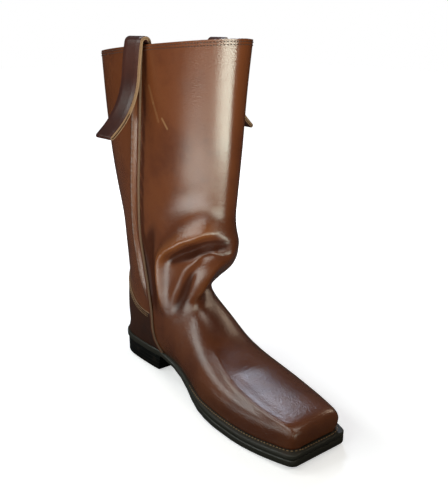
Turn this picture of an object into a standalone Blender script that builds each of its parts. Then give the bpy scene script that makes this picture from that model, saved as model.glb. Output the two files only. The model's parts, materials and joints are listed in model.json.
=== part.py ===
"""Left cavalry boot in brown leather, standing empty on its sole.

Toe towards -Y, heel towards +Y, the big-toe (medial) side towards -X, floor at z = 0.
Sizes in the tables are millimetres. MM turns them into Blender's metres.
"""

import math

import bmesh
import bpy
import numpy as np
from mathutils import Vector
from mathutils.bvhtree import BVHTree

MM = 0.001
GAP = 0.3  # air between two pieces that touch
SHARP_EDGE = math.radians(38.0)
MEDIAL = -1
LATERAL = 1

# Sole: plan outline, seen from above, as distances from the boot's long axis
TOE_END = -161.0
HEEL_END = 152.0
TOE_CORNER = 5.0  # radius of the two corners of the square toe
HEEL_ROUND_FROM = 112.0
HEEL_ROUNDNESS = 2.2
SOLE_OUTLINE = (
    # along, medial, lateral
    (-161.0, 40.6, 27.0),
    (-152.0, 43.4, 30.5),
    (-135.0, 47.4, 37.0),
    (-112.0, 51.4, 44.0),
    (-90.0, 53.4, 48.4),
    (-68.0, 53.4, 50.6),
    (-48.0, 51.4, 50.6),
    (-28.0, 47.2, 48.4),
    (-8.0, 40.8, 44.0),
    (12.0, 34.0, 39.4),
    (34.0, 30.4, 35.6),
    (56.0, 31.2, 34.2),
    (80.0, 33.6, 34.0),
    (112.0, 34.4, 34.4),
    (152.0, 34.4, 34.4),
)
LEDGE = (
    # along, how far the welt stands out past the upper
    (-161.0, 6.0),
    (-120.0, 5.6),
    (-60.0, 5.2),
    (0.0, 2.8),
    (40.0, 1.8),
    (152.0, 1.8),
)
# Sole: side profile, with flat treads under forefoot and heel, arch and toe spring
SOLE_PROFILE = (
    # along, underside height, outsole thickness, welt thickness
    (-161.0, 4.0, 6.6, 5.0),
    (-140.0, 2.2, 6.6, 5.0),
    (-118.0, 0.7, 6.6, 5.0),
    (-96.0, 0.0, 6.6, 5.0),
    (-36.0, 0.0, 6.6, 5.0),
    (-18.0, 1.6, 6.4, 4.6),
    (4.0, 5.4, 6.1, 3.7),
    (26.0, 10.8, 5.8, 2.7),
    (48.0, 16.6, 5.6, 1.7),
    (64.0, 19.0, 5.6, 1.0),
    (152.0, 19.0, 5.6, 1.0),
)
SOLE_EDGE_CHAMFER = 0.9
OUTSOLE_STATIONS = 38
OUTSOLE_TIP = 0.15  # the last station stops just short of the rounded back
WELT_END = 58.0
WELT_UNDER_UPPER = 3.2
WELT_SIDE_POINTS = 26
WELT_FRONT_POINTS = 5
WELT_EASE = 1.7  # above 1, its points lie closer together near the toe
SEAT_RAMP = 4.0  # length over which the outsole rises behind the welt

# Heel block under the seat
HEEL_BREAST_TOP = 63.5
HEEL_BREAST_FOOT = 66.0
HEEL_INSET_TOP = 1.2
HEEL_INSET_FOOT = 1.6
HEEL_EDGE = 1.2
HEEL_SIDE_POINTS = 15

# Insole inside the boot
INSOLE_CLEARANCE = 4.0  # from the outside of the upper to the insole's edge
INSOLE_PROUD = 1.2
INSOLE_STATIONS = 30
INSOLE_TIP = 0.4

# Upper: vamp, counter area and leg in one wall
WALL = 2.2
UPPER_TOE_CORNER = 8.0
SECTIONS = 49
ACROSS = 36
SECTION_FINENESS = 200  # points that a section is drawn with before they are spread
CROWDING = 0.45  # 0 spreads a section's points evenly
WIDEST_FOOT = 0.985  # of a section's half width, so that its side always bulges over its base
UPPER_LIFT = 0.5  # from the seat to the lower rim of the wall
FOOT_SECTIONS = (
    # base along, top along, top height, ridge, medial, lateral, widest at,
    # medial squareness, lateral squareness
    (-155.0, -155.4, 17.4, -5.9, 26.0, 14.0, 0.50, 4.2, 4.2),
    (-154.2, -156.0, 24.0, -5.8, 29.8, 18.0, 0.45, 4.2, 4.2),
    (-152.6, -156.2, 31.0, -5.4, 33.6, 22.9, 0.42, 4.2, 4.0),
    (-148.5, -153.8, 36.6, -6.0, 36.6, 26.0, 0.40, 4.2, 3.1),
    (-141.0, -147.4, 39.4, -6.0, 38.8, 29.4, 0.38, 4.0, 2.7),
    (-130.0, -134.8, 40.8, -6.0, 41.4, 33.7, 0.36, 3.8, 2.4),
    (-114.0, -115.0, 42.4, -6.0, 44.8, 39.4, 0.34, 3.4, 2.2),
    (-94.0, -93.0, 44.6, -6.0, 47.2, 44.2, 0.32, 3.0, 2.05),
    (-74.0, -70.0, 48.2, -5.5, 47.8, 47.2, 0.30, 2.7, 2.0),
    (-54.0, -49.0, 53.2, -5.0, 46.8, 47.8, 0.29, 2.5, 1.95),
    (-33.0, -29.0, 60.2, -4.0, 44.4, 47.0, 0.28, 2.35, 1.9),
    (-10.0, -12.0, 70.0, -3.0, 40.8, 44.4, 0.29, 2.25, 1.9),
    (14.0, 3.0, 82.2, -1.5, 37.8, 42.0, 0.31, 2.15, 2.0),
    (42.0, 17.0, 93.0, -1.0, 36.5, 40.0, 0.34, 2.1, 2.0),
    (74.0, 29.0, 102.5, -0.5, 36.0, 38.5, 0.38, 2.1, 2.0),
    (106.0, 31.0, 110.5, 0.0, 36.0, 37.5, 0.42, 2.1, 2.0),
    (132.0, 22.0, 119.0, 0.0, 36.0, 37.0, 0.45, 2.1, 2.0),
    (146.0, 7.0, 128.5, 0.0, 36.2, 37.0, 0.47, 2.1, 2.0),
)
LEG_SECTIONS = (
    # back along, back height, front along, front height, ridge, medial, lateral, widest at,
    # medial squareness, lateral squareness
    (150.2, 26.4, -7.5, 138.5, 0.0, 36.6, 37.0, 0.48, 2.1, 2.0),
    (155.0, 42.0, -17.5, 148.5, 0.0, 37.0, 37.2, 0.49, 2.1, 2.0),
    (155.0, 60.0, -22.0, 158.0, 0.0, 37.5, 37.5, 0.50, 2.1, 2.0),
    (151.8, 82.0, -22.0, 168.0, 0.0, 38.5, 38.5, 0.50, 2.1, 2.0),
    (153.6, 104.0, -18.0, 178.0, 0.0, 39.5, 39.5, 0.50, 2.05, 2.0),
    (157.5, 130.0, -15.2, 192.0, 0.0, 40.5, 40.5, 0.50, 2.0, 2.0),
    (161.0, 160.0, -17.2, 212.0, 0.0, 41.5, 41.5, 0.50, 2.0, 2.0),
    (172.0, 192.0, -20.3, 238.0, 0.0, 43.0, 43.0, 0.50, 2.0, 2.0),
    (181.0, 226.0, -23.0, 265.0, 0.0, 45.0, 45.0, 0.50, 2.0, 2.0),
    (187.5, 262.0, -25.0, 294.0, 0.0, 46.5, 46.5, 0.50, 2.0, 2.0),
    (192.5, 302.0, -28.0, 326.0, 0.0, 48.2, 48.2, 0.50, 2.0, 2.0),
    (196.0, 342.5, -32.5, 361.0, 0.0, 50.0, 50.0, 0.50, 2.0, 2.0),
)

# Inner side of the notch over the instep: here the leather stays upright as a column below the roll
COLUMN = (
    # top height of a section, along
    (82.2, 3.0),
    (93.0, 7.0),
    (102.5, 4.5),
    (110.5, -1.0),
    (119.0, -7.5),
    (128.5, -12.5),
    (138.5, -16.0),
    (148.5, -17.5),
)
COLUMN_EDGE = 6.0  # across: here the notch begins to close
COLUMN_FULL = -20.0

# Side seams: raised cord over the join of front and back leather
SEAM_LINE = (
    # height, along
    (26.0, 57.0),
    (38.5, 65.0),
    (52.0, 69.0),
    (69.0, 70.0),
    (92.0, 73.0),
    (130.0, 79.0),
    (165.0, 84.0),
    (201.0, 81.5),
    (246.0, 74.6),
    (286.0, 69.0),
    (326.0, 63.5),
    (360.0, 58.5),
)
SEAM_WIDTH = 5.0
SEAM_RISE = 2.0
SEAM_EDGE = 0.5
SEAM_GAP = 0.6
SEAM_ROWS = 34
SEAM_TOP_MARGIN = 1.0
SEAM_FOOT_MARGIN = 1.5

# Counter: stiff leather overlay round the heel
COUNTER_THICK = 1.4
COUNTER_AXIS = 100.0  # the point of the long axis that its columns fan out from
COUNTER_SEAM_HEIGHT = 69.0
COUNTER_BACK_HEIGHT = 112.0
COUNTER_SWEEP = 2.2
COUNTER_FOOT_MARGIN = 2.0
COUNTER_COLUMNS = 28
COUNTER_ROWS = 8
COUNTER_ROW_EASE = 1.4  # above 1, the rows lie closer together near the sole
BESIDE_JOIN = 0.001  # keeps the middle column just off the upper's back join
COUNTER_GAP = 1.05  # wide enough for the facets of two rounded forms

# Pull straps: a doubled leather loop over the collar at each side
STRAP_ALONG = 66.0
STRAP_WIDTH = 26.0
STRAP_THICK = 1.8
STRAP_INSIDE = 36.0
STRAP_STAND_OFF = 3.8
STRAP_RISE = 2.0
STRAP_HANG = 22.0
STRAP_DRIFT = 3.0
STRAP_FLARE_RADIUS = 84.0
STRAP_FLARE_TURN = math.radians(51.0)
STRAP_LOOP = 3.2  # distance between the two layers at the tip
STRAP_ARCH_POINTS = 7
STRAP_FLARE_POINTS = 8
STRAP_TIP_POINTS = 4

LEATHER_BROWN = (0.20, 0.072, 0.034, 1.0)
LEATHER_DARK = (0.15, 0.052, 0.026, 1.0)
LEATHER_TAN = (0.36, 0.20, 0.10, 1.0)
SOLE_BLACK = (0.014, 0.012, 0.011, 1.0)


def smooth(at, table, column):
    """Reads one column of a table at a place, on a curve that never overshoots its rows."""
    x = np.array([row[0] for row in table])
    y = np.array([row[column] for row in table])
    return smooth_rows(at, x, y)


def smooth_rows(at, x, y):
    steps = np.diff(x)
    slopes = np.diff(y) / steps
    tangents = np.zeros(len(x))
    tangents[0] = slopes[0]
    tangents[-1] = slopes[-1]
    for i in range(1, len(x) - 1):
        before, after = slopes[i - 1], slopes[i]
        if before * after > 0:
            heavy, light = 2 * steps[i] + steps[i - 1], steps[i] + 2 * steps[i - 1]
            tangents[i] = (heavy + light) / (heavy / before + light / after)
    at = min(max(at, x[0]), x[-1])
    i = min(int(np.searchsorted(x, at, side="right")) - 1, len(x) - 2)
    t = (at - x[i]) / steps[i]
    rise = y[i + 1] - y[i]
    start, end = tangents[i] * steps[i], tangents[i + 1] * steps[i]
    return y[i] + t * start + t * t * (3 * rise - 2 * start - end) + t**3 * (start + end - 2 * rise)


def outline(along, ledged=0.0, more=0.0, corner=TOE_CORNER):
    """The medial and lateral edge of the sole's outline, inset by the ledge and by more."""
    inset = ledged * smooth(along, LEDGE, 1) + more
    medial = smooth(along, SOLE_OUTLINE, 1) - inset
    lateral = smooth(along, SOLE_OUTLINE, 2) - inset
    into_corner = toe_end(ledged, more) + corner - along
    if into_corner > 0:
        cut = corner - math.sqrt(max(corner**2 - into_corner**2, 0.0))
        medial, lateral = medial - cut, lateral - cut
    into_heel = (along - HEEL_ROUND_FROM) / (heel_end(ledged, more) - HEEL_ROUND_FROM)
    if into_heel > 0:
        narrowing = (1 - min(into_heel, 1.0) ** HEEL_ROUNDNESS) ** (1 / HEEL_ROUNDNESS)
        medial, lateral = medial * narrowing, lateral * narrowing
    return -medial, lateral


def toe_end(ledged=0.0, more=0.0):
    return TOE_END + ledged * LEDGE[0][1] + more


def heel_end(ledged=0.0, more=0.0):
    return HEEL_END - ledged * LEDGE[-1][1] - more


def underside(along):
    return smooth(along, SOLE_PROFILE, 1)


def seat(along):
    """Height of the surface that the upper stands on: the welt, and at the heel the outsole."""
    return underside(along) + smooth(along, SOLE_PROFILE, 2) + GAP + smooth(along, SOLE_PROFILE, 3)


def outsole_top(along):
    """The outsole lies under the welt, and behind the welt's ends it rises to the seat."""
    ramp = min(max((along - WELT_END - GAP) / SEAT_RAMP, 0.0), 1.0)
    return seat(along) - (GAP + smooth(along, SOLE_PROFILE, 3)) * (1 - ramp)


def stations(start, end, count):
    """Places from toe to heel, closer together near both ends, and one at each end of the seat's ramp."""
    t = np.linspace(0.0, 1.0, count)
    eased = t**2 / (t**2 + (1 - t) ** 2)
    ramp = (WELT_END + GAP, WELT_END + GAP + SEAT_RAMP)
    return np.sort(np.concatenate([start + (end - start) * eased, ramp]))


def add_object(name, points, faces, material, parent):
    """One named piece from points in millimetres."""
    mesh = bpy.data.meshes.new(name)
    mesh.from_pydata([Vector(p) * MM for p in points], [], faces)
    mesh.validate()
    bm = bmesh.new()
    bm.from_mesh(mesh)
    bmesh.ops.recalc_face_normals(bm, faces=bm.faces)
    bm.to_mesh(mesh)
    bm.free()
    mesh.materials.append(material)
    mesh.shade_smooth()
    mesh.set_sharp_from_angle(angle=SHARP_EDGE)
    piece = bpy.data.objects.new(name, mesh)
    piece.parent = parent
    parent.users_collection[0].objects.link(piece)
    return piece


def loft(rings):
    """Points and faces of a closed body through rings that all have the same count of points."""
    count = len(rings[0])
    points = [p for ring in rings for p in ring]
    faces = []
    for i in range(len(rings) - 1):
        for j in range(count):
            k = (j + 1) % count
            low, high = i * count, (i + 1) * count
            faces.append((low + j, low + k, high + k, high + j))
    faces.append(tuple(range(count)))
    faces.append(tuple(range(len(points) - count, len(points))))
    return points, faces


def plate_ring(along, medial, lateral, low, high, chamfer):
    """Cross-section of a flat layer of the sole, with its four long edges broken."""
    c = min(chamfer, (lateral - medial) / 4, (high - low) / 4)
    return [
        (medial + c, along, low),
        (lateral - c, along, low),
        (lateral, along, low + c),
        (lateral, along, high - c),
        (lateral - c, along, high),
        (medial + c, along, high),
        (medial, along, high - c),
        (medial, along, low + c),
    ]


def build_outsole(material, parent):
    rings = []
    for along in stations(TOE_END, HEEL_END - OUTSOLE_TIP, OUTSOLE_STATIONS):
        medial, lateral = outline(along)
        low, high = underside(along), outsole_top(along)
        rings.append(plate_ring(along, medial, lateral, low, high, SOLE_EDGE_CHAMFER))
    add_object("outsole", *loft(rings), material, parent)


def welt_edge(ledged, more, corner):
    """Plan points from the medial end of the welt, round the toe, to its lateral end."""
    end = toe_end(ledged, more)
    t = np.linspace(1.0, 0.0, WELT_SIDE_POINTS)
    places = end + (WELT_END - end) * t**WELT_EASE
    medial_side = [(outline(y, ledged, more, corner)[0], y) for y in places]
    lateral_side = [(outline(y, ledged, more, corner)[1], y) for y in places[::-1]]
    front = np.linspace(medial_side[-1][0], lateral_side[0][0], WELT_FRONT_POINTS + 2)[1:-1]
    return medial_side + [(x, end) for x in front] + lateral_side


def build_welt(material, parent):
    outer = welt_edge(0.0, 0.0, TOE_CORNER)
    inner = welt_edge(1.0, WELT_UNDER_UPPER, UPPER_TOE_CORNER)
    rings = []
    for (outer_x, outer_y), (inner_x, inner_y) in zip(outer, inner):
        inward = np.array([inner_x - outer_x, inner_y - outer_y])
        broken = np.array([outer_x, outer_y]) + inward * SOLE_EDGE_CHAMFER / np.linalg.norm(inward)
        low, high = outsole_top(outer_y) + GAP, seat(outer_y)
        inner_low, inner_high = outsole_top(inner_y) + GAP, seat(inner_y)
        chamfer = min(SOLE_EDGE_CHAMFER, (high - low) / 4)
        rings.append(
            [
                (inner_x, inner_y, inner_low),
                (broken[0], broken[1], low),
                (outer_x, outer_y, low + chamfer),
                (outer_x, outer_y, high - chamfer),
                (broken[0], broken[1], high),
                (inner_x, inner_y, inner_high),
            ]
        )
    add_object("welt", *loft(rings), material, parent)


def heel_ring(height, inset, breast):
    """U-shaped plan of the heel block, its straight breast closing the ring."""
    end = heel_end(0.0, inset)
    t = np.linspace(0.0, 1.0, HEEL_SIDE_POINTS)
    places = breast + (end - breast) * np.sin(t * math.pi / 2)
    medial_side = [(outline(y, 0.0, inset)[0], y, height) for y in places]
    lateral_side = [(outline(y, 0.0, inset)[1], y, height) for y in places[-2::-1]]
    return medial_side + lateral_side


def build_heel(material, parent):
    top = underside(HEEL_END) - GAP
    rings = [
        heel_ring(0.0, HEEL_INSET_FOOT + HEEL_EDGE, HEEL_BREAST_FOOT + HEEL_EDGE),
        heel_ring(HEEL_EDGE, HEEL_INSET_FOOT, HEEL_BREAST_FOOT),
        heel_ring(top, HEEL_INSET_TOP, HEEL_BREAST_TOP),
    ]
    add_object("heel", *loft(rings), material, parent)


def build_insole(material, parent):
    start, end = toe_end(1.0, INSOLE_CLEARANCE), heel_end(1.0, INSOLE_CLEARANCE)
    rings = []
    for along in stations(start, end - INSOLE_TIP, INSOLE_STATIONS):
        medial, lateral = outline(along, 1.0, INSOLE_CLEARANCE, UPPER_TOE_CORNER)
        low, high = outsole_top(along) + GAP, seat(along) + INSOLE_PROUD
        rings.append(plate_ring(along, medial, lateral, low, high, SOLE_EDGE_CHAMFER))
    add_object("insole", *loft(rings), material, parent)


def section_rows():
    """Foot and leg rows as one table, each with the height of its base."""
    foot = [(row[0], seat(row[0]) + UPPER_LIFT, *row[1:]) for row in FOOT_SECTIONS]
    return np.array(foot + list(LEG_SECTIONS))


def half_section(half_width, foot, widest, square, count):
    """One side of a section from its base to its top, as shares: width and height of each point."""
    foot_share = min(foot / half_width, WIDEST_FOOT)
    last = math.pi - math.asin(foot_share ** (square / 2))
    turn = np.linspace(last, 0.0, count)
    width = np.sin(turn) ** (2 / square)
    width[-1] = 0.0
    swing = np.abs(np.cos(turn)) ** (2 / square)
    above = widest + (1 - widest) * swing
    below = widest * (1 - swing / abs(math.cos(last)) ** (2 / square))
    height = np.where(turn <= math.pi / 2, above, below)
    return width * half_width, height


def spread(points, count):
    """The same curve with its points moved along it, closer together near both of its ends."""
    run = np.concatenate([[0.0], np.cumsum(np.linalg.norm(np.diff(points, axis=0), axis=1))])
    t = np.linspace(0.0, 1.0, count)
    places = run[-1] * (t - CROWDING * np.sin(2 * math.pi * t) / (2 * math.pi))
    return np.stack([np.interp(places, run, points[:, i]) for i in range(3)], axis=1)


def section_top(across, top_y, top_z):
    """How far along a section's top is: in the notch, or on the column at the notch's inner side."""
    if not COLUMN[0][0] < top_z < COLUMN[-1][0]:
        return top_y
    share = np.clip((COLUMN_EDGE - across) / (COLUMN_EDGE - COLUMN_FULL), 0.0, 1.0)
    return top_y + (smooth(top_z, COLUMN, 1) - top_y) * share**2 * (3 - 2 * share)


def upper_section(row, is_leg):
    """Points of one section, from the medial base over the ridge to the lateral base."""
    base_y, base_z, top_y, top_z, ridge, medial, lateral, widest, medial_square, lateral_square = row
    edges = (ridge, ridge) if is_leg else outline(base_y, 1.0, 0.0, UPPER_TOE_CORNER)
    sides = []
    for side, edge, out, square in (
        (MEDIAL, edges[0], medial, medial_square),
        (LATERAL, edges[1], lateral, lateral_square),
    ):
        half_width = out - side * ridge
        foot = max(side * (edge - ridge), 0.0)
        width, height = half_section(half_width, foot, widest, square, SECTION_FINENESS)
        x = ridge + side * width
        y = base_y + (section_top(x, top_y, top_z) - base_y) * height
        z = base_z + (top_z - base_z) * height
        sides.append(spread(np.stack([x, y, z], axis=1), ACROSS // 2 + 1))
    return np.concatenate([sides[0], sides[1][-2::-1]])


def upper_grid():
    """The upper's outer surface as sections from the toe's edge to the collar, and where the leg starts."""
    rows = section_rows()
    places = np.arange(len(rows), dtype=float)
    grid = []
    first_leg = None
    for at in np.linspace(0.0, len(rows) - 1.0, SECTIONS):
        row = [smooth_rows(at, places, rows[:, i]) for i in range(rows.shape[1])]
        is_leg = at >= len(FOOT_SECTIONS) - 1e-6
        if is_leg and first_leg is None:
            first_leg = len(grid)
        grid.append(upper_section(row, is_leg))
    return np.array(grid), first_leg


def surface(grid, first_leg):
    """Points and faces of the open outer surface. Leg sections close on themselves at the back."""
    points = []
    index = []
    for i, section in enumerate(grid):
        kept = section if i < first_leg else section[:-1]
        ids = list(range(len(points), len(points) + len(kept)))
        points.extend(kept)
        index.append(ids if i < first_leg else ids + [ids[0]])
    faces = []
    for i in range(len(grid) - 1):
        for j in range(ACROSS):
            corners = (index[i][j], index[i][j + 1], index[i + 1][j + 1], index[i + 1][j])
            faces.append(tuple(dict.fromkeys(corners)))
    return points, faces


def build_upper(material, parent):
    """The wall grows inwards from the outer surface, and its lower rim lies flat above the seat."""
    points, faces = surface(*upper_grid())
    upper = add_object("upper", points, faces, material, parent)
    wall = upper.modifiers.new("wall", "SOLIDIFY")
    wall.thickness = WALL * MM
    wall.offset = -1.0
    wall.use_rim = True
    wall.use_even_offset = True
    bpy.context.view_layer.objects.active = upper
    bpy.ops.object.modifier_apply(modifier="wall")
    for vertex in upper.data.vertices:
        lowest = (seat(vertex.co.y / MM) + UPPER_LIFT) * MM
        vertex.co.z = max(vertex.co.z, lowest)
    return BVHTree.FromPolygons([Vector(p) for p in points], faces)


def collar_height(along):
    """The collar slopes down from the front to the back."""
    back_y, back_z, front_y, front_z = LEG_SECTIONS[-1][:4]
    return front_z + (back_z - front_z) * (along - front_y) / (back_y - front_y)


def on_upper(tree, start, direction):
    """Where a ray from inside the boot leaves the upper, and which way the upper faces there."""
    place, normal, _, _ = tree.ray_cast(Vector(start), Vector(direction))
    if normal.dot(Vector(direction)) < 0:
        normal = -normal
    return np.array(place), np.array(normal)


def overlay(inner, outer):
    """A closed body between two grids of points of the same size."""
    rows, columns = len(inner), len(inner[0])
    points = [p for row in inner for p in row] + [p for row in outer for p in row]
    shift = rows * columns
    faces = []
    for i in range(rows - 1):
        for j in range(columns - 1):
            low, high = i * columns + j, (i + 1) * columns + j
            corners = (low, low + 1, high + 1, high)
            faces.append(corners[::-1])
            faces.append(tuple(c + shift for c in corners))
    rim = list(range(columns))
    rim += [(i + 1) * columns - 1 for i in range(1, rows)]
    rim += [(rows - 1) * columns + j for j in range(columns - 2, -1, -1)]
    rim += [i * columns for i in range(rows - 2, 0, -1)]
    for a, b in zip(rim, rim[1:] + rim[:1]):
        faces.append((a, b, b + shift, a + shift))
    return points, faces


def build_side_seam(name, side, tree, material, parent):
    across = (-0.5, -0.25, 0.25, 0.5)
    rise = (SEAM_EDGE, SEAM_RISE, SEAM_RISE, SEAM_EDGE)
    low = seat(SEAM_LINE[0][1]) + SEAM_FOOT_MARGIN
    high = collar_height(SEAM_LINE[-1][1]) - SEAM_TOP_MARGIN
    inner, outer = [], []
    for height in np.linspace(low, high, SEAM_ROWS):
        middle = smooth(height, SEAM_LINE, 1)
        hits = []
        for share in across:
            inside = (0.0, middle + share * SEAM_WIDTH, height)
            hits.append(on_upper(tree, inside, (side, 0, 0)))
        normal = sum(hit[1] for hit in hits)
        normal = normal / np.linalg.norm(normal)
        inner.append([place + normal * SEAM_GAP for place, _ in hits])
        outer.append([place + normal * (SEAM_GAP + up) for (place, _), up in zip(hits, rise)])
    add_object(name, *overlay(inner, outer), material, parent)


def build_counter(tree, material, parent):
    clear = SEAM_WIDTH / 2 + 2 * GAP
    low = seat(HEEL_END) + COUNTER_FOOT_MARGIN
    inner, outer = [], []
    for column in np.linspace(-1.0, 1.0, COUNTER_COLUMNS + 1):
        side = MEDIAL if column < 0 else LATERAL
        share = 1 - abs(column)  # 0 at the seam, 1 at the back of the heel
        top = COUNTER_SEAM_HEIGHT + (COUNTER_BACK_HEIGHT - COUNTER_SEAM_HEIGHT) * share**COUNTER_SWEEP
        inner.append([])
        outer.append([])
        for t in np.linspace(0.0, 1.0, COUNTER_ROWS + 1):
            height = low + (top - low) * t**COUNTER_ROW_EASE
            edge_y = smooth(height, SEAM_LINE, 1) + clear
            edge, _ = on_upper(tree, (0.0, edge_y, height), (side, 0, 0))
            widest_turn = math.atan2(abs(edge[0]), edge_y - COUNTER_AXIS)
            turn = max(abs(column) * widest_turn, BESIDE_JOIN) * side
            direction = (math.sin(turn), math.cos(turn), 0.0)
            place, normal = on_upper(tree, (0.0, COUNTER_AXIS, height), direction)
            inner[-1].append(place + normal * COUNTER_GAP)
            outer[-1].append(place + normal * (COUNTER_GAP + COUNTER_THICK))
    add_object("counter", *overlay(inner, outer), material, parent)


def strap_path():
    """Side view of the strap's middle line: out from the leg's wall, and up from the collar."""
    arch = STRAP_STAND_OFF
    path = [(-arch, -STRAP_INSIDE), (-arch, -STRAP_INSIDE / 2)]
    for turn in np.linspace(math.pi, 0.0, STRAP_ARCH_POINTS):
        path.append((arch * math.cos(turn), STRAP_RISE + arch * math.sin(turn)))
    path.append((arch + STRAP_DRIFT / 2, STRAP_RISE - STRAP_HANG / 2))
    for turn in np.linspace(0.0, STRAP_FLARE_TURN, STRAP_FLARE_POINTS):
        out = arch + STRAP_DRIFT + STRAP_FLARE_RADIUS * (1 - math.cos(turn))
        path.append((out, STRAP_RISE - STRAP_HANG - STRAP_FLARE_RADIUS * math.sin(turn)))
    return np.array(path)


def collar_wall(tree, side, along, up):
    """Where the leg's outer face is at a side, some way up or down from the collar."""
    height = collar_height(along) + min(up, -SEAM_TOP_MARGIN)
    wall, _ = on_upper(tree, (0.0, along, height), (side, 0, 0))
    return wall[0]


def beside(path, distance):
    """A line at a distance from a path, on its outer side."""
    along = np.gradient(path, axis=0)
    along /= np.linalg.norm(along, axis=1)[:, None]
    left = np.stack([-along[:, 1], along[:, 0]], axis=1)
    return path + left * np.asarray(distance)[:, None]


def build_strap(name, side, tree, material, parent):
    first = strap_path()
    share = np.linspace(0.0, 1.0, len(first))
    spacing = STRAP_THICK + GAP
    second = beside(first, spacing + (STRAP_LOOP - spacing) * share**3)
    middle = (first[-1] + second[-1]) / 2
    arm = first[-1] - middle
    tip = []
    for turn in np.linspace(0.0, math.pi, STRAP_TIP_POINTS + 2)[1:-1]:
        spin = np.array([[math.cos(turn), -math.sin(turn)], [math.sin(turn), math.cos(turn)]])
        tip.append(middle + spin @ arm)
    path = np.concatenate([first, tip, second[::-1]])
    faces_out = [beside(path, np.full(len(path), sign * STRAP_THICK / 2)) for sign in (-1, 1)]
    rings = []
    for a, b in zip(*faces_out):
        ring = []
        for (out, up), edge in ((a, -0.5), (b, -0.5), (b, 0.5), (a, 0.5)):
            along = STRAP_ALONG + edge * STRAP_WIDTH
            height = collar_height(STRAP_ALONG) + up
            wall = collar_wall(tree, side, along, up if out < 0 else 0.0)
            ring.append((wall + side * out, along, height))
        rings.append(ring)
    add_object(name, *loft(rings), material, parent)


def make_material(name, colour, roughness):
    material = bpy.data.materials.new(name)
    material.use_nodes = True
    shader = material.node_tree.nodes["Principled BSDF"]
    shader.inputs["Base Color"].default_value = colour
    shader.inputs["Roughness"].default_value = roughness
    shader.inputs["Metallic"].default_value = 0.0
    return material


def stand_on_origin(root):
    """Moves the whole boot so that the middle of its bottom is at the origin."""
    bpy.context.view_layer.update()
    corners = [child.matrix_world @ Vector(c) for child in root.children for c in child.bound_box]
    low = [min(c[i] for c in corners) for i in range(3)]
    high = [max(c[i] for c in corners) for i in range(3)]
    root.location = (-(low[0] + high[0]) / 2, -(low[1] + high[1]) / 2, -low[2])


def build_boot():
    for old in list(bpy.data.objects):
        bpy.data.objects.remove(old)
    collection = bpy.data.collections.new("cavalry_boot")
    bpy.context.scene.collection.children.link(collection)
    root = bpy.data.objects.new("boot", None)
    collection.objects.link(root)

    sole = make_material("sole_black", SOLE_BLACK, 0.55)
    leather = make_material("upper_leather", LEATHER_BROWN, 0.35)
    stiffened = make_material("counter_leather", LEATHER_DARK, 0.38)
    cut_edge = make_material("seam_leather", LEATHER_TAN, 0.6)
    lining = make_material("insole_leather", LEATHER_TAN, 0.7)

    build_outsole(sole, root)
    build_welt(sole, root)
    build_heel(sole, root)
    build_insole(lining, root)
    tree = build_upper(leather, root)
    build_counter(tree, stiffened, root)
    for word, side in (("medial", MEDIAL), ("lateral", LATERAL)):
        build_side_seam(f"side_seam_{word}", side, tree, cut_edge, root)
        build_strap(f"pull_strap_{word}", side, tree, leather, root)
    stand_on_origin(root)


build_boot()
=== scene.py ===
"""Left cavalry boot in polished brown leather, standing empty on a pale floor."""

import json
import math

import bmesh
import bpy
import numpy as np
from mathutils import Matrix, Vector
from mathutils.bvhtree import BVHTree

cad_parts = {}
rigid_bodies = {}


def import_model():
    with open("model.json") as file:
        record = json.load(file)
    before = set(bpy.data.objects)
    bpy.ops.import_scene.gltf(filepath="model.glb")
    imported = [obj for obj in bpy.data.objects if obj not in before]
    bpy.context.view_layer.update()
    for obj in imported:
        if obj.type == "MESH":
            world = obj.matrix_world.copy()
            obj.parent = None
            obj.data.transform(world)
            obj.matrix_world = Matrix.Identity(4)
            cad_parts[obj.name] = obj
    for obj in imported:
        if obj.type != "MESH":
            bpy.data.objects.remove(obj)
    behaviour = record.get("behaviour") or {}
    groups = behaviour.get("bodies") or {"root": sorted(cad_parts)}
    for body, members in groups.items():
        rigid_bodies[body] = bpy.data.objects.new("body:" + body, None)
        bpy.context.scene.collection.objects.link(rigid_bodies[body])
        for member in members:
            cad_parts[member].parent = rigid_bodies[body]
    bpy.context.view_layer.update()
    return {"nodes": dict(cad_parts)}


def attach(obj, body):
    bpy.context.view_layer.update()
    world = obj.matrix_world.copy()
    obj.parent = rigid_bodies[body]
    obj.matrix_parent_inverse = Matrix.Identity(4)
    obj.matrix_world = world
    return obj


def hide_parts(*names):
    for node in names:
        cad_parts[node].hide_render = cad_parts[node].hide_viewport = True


for old in list(bpy.data.objects):
    bpy.data.objects.remove(old)
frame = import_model()

# Outsole
# One plate of thick sole leather from the square toe to the heel seat, cut round the last. Its edge is
# trimmed, blacked and burnished with a hot iron; the walking face below stays brown and a little worn.
MM = 0.001
WELD = 0.02 * MM  # corners of a solid's loose triangles that lie nearer than this are one
PLATE_EDGE_ROUND = 0.7 * MM
ROUNDED_BEND = 40.0  # degrees: an edge that bends more than this is rounded
SHARP_BEND = 35.0  # degrees: an edge that bends more than this is shaded sharp
LOOKS_DOWN = -0.8  # a face whose normal has less than this upwards is on the walking side
EDGE_FIBRE = 0.12 * MM
DRESSING_BLACK = (0.03, 0.0285, 0.0215, 1)
DRESSING_RUBBED = (0.045, 0.03, 0.02, 1)
WALKED_TAN = (0.11, 0.06, 0.032, 1)
WALKED_STAIN = (0.03, 0.02, 0.014, 1)
WALKED_SCORE = (0.18, 0.12, 0.075, 1)


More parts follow.
